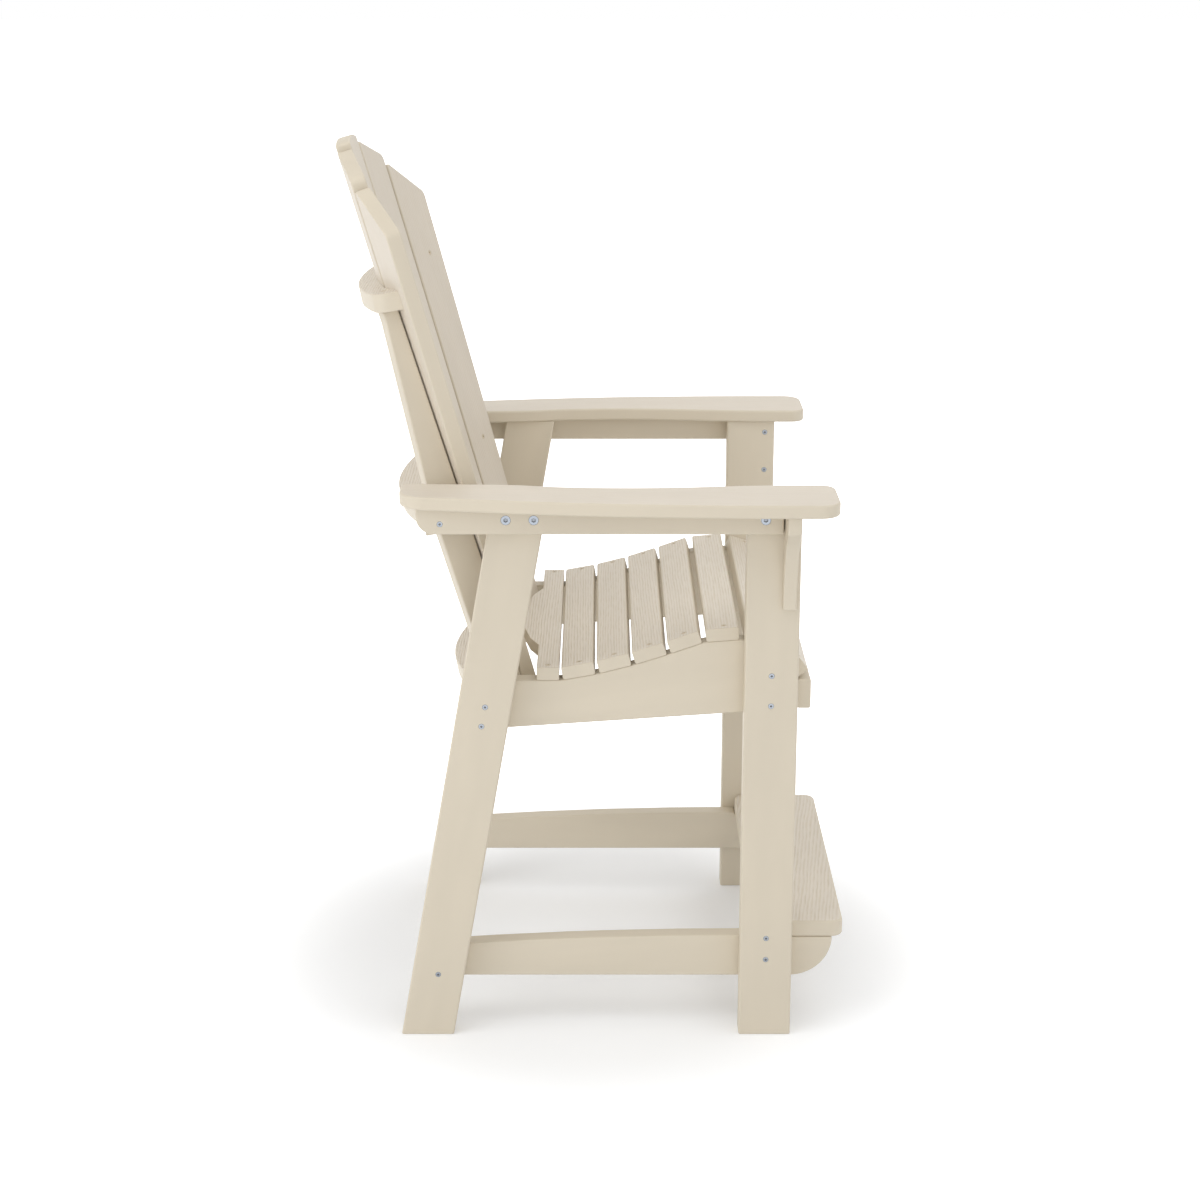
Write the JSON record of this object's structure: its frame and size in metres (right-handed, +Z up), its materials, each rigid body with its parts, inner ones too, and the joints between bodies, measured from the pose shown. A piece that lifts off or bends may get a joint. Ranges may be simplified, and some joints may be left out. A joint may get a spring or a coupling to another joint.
{
  "type": "counter height adirondack chair",
  "caption": "Counter height adirondack chair in sand poly lumber, with a five-slat fan back, dished slatted seat, wide arms and a footrest.",
  "frame": {"origin": "centre of the box over the floor plane, at the underside of the legs", "axes": "+Z up, the sitter faces -Y, +X is the sitter's left"},
  "size_m": [0.714, 0.7386, 1.29],
  "materials": {
    "poly_lumber": "sand coloured, embossed wood grain on the slats, satin on the rails",
    "fasteners": "stainless steel, recessed heads"
  },
  "bodies": {
    "root": {"leg_front_left": "poly_lumber", "leg_front_right": "poly_lumber", "leg_rear_left": "poly_lumber", "leg_rear_right": "poly_lumber", "arm_left": "poly_lumber", "arm_right": "poly_lumber", "arm_rail_left": "poly_lumber", "arm_rail_right": "poly_lumber", "arm_bracket_left": "poly_lumber", "arm_bracket_right": "poly_lumber", "seat_rail_left": "poly_lumber", "seat_rail_right": "poly_lumber", "seat_apron": "poly_lumber", "seat_slat_1": "poly_lumber", "seat_slat_2": "poly_lumber", "seat_slat_3": "poly_lumber", "seat_slat_4": "poly_lumber", "seat_slat_5": "poly_lumber", "seat_slat_6": "poly_lumber", "seat_slat_7": "poly_lumber", "seat_slat_8": "poly_lumber", "stretcher_left": "poly_lumber", "stretcher_right": "poly_lumber", "footrest": "poly_lumber", "back_upright_left": "poly_lumber", "back_upright_right": "poly_lumber", "back_brace_upper": "poly_lumber", "back_brace_middle": "poly_lumber", "back_brace_lower": "poly_lumber", "back_slat_1": "poly_lumber", "back_slat_2": "poly_lumber", "back_slat_3": "poly_lumber", "back_slat_4": "poly_lumber", "back_slat_5": "poly_lumber", "arm_rail_bolts": "fasteners", "arm_rail_screws": "fasteners", "arm_screws": "fasteners", "bracket_screws": "fasteners", "seat_rail_screws": "fasteners", "seat_slat_screws": "fasteners", "apron_screws": "fasteners", "footrest_screws": "fasteners", "stretcher_screws": "fasteners", "back_slat_screws": "fasteners", "upright_screws": "fasteners"}
  },
  "joints": []
}
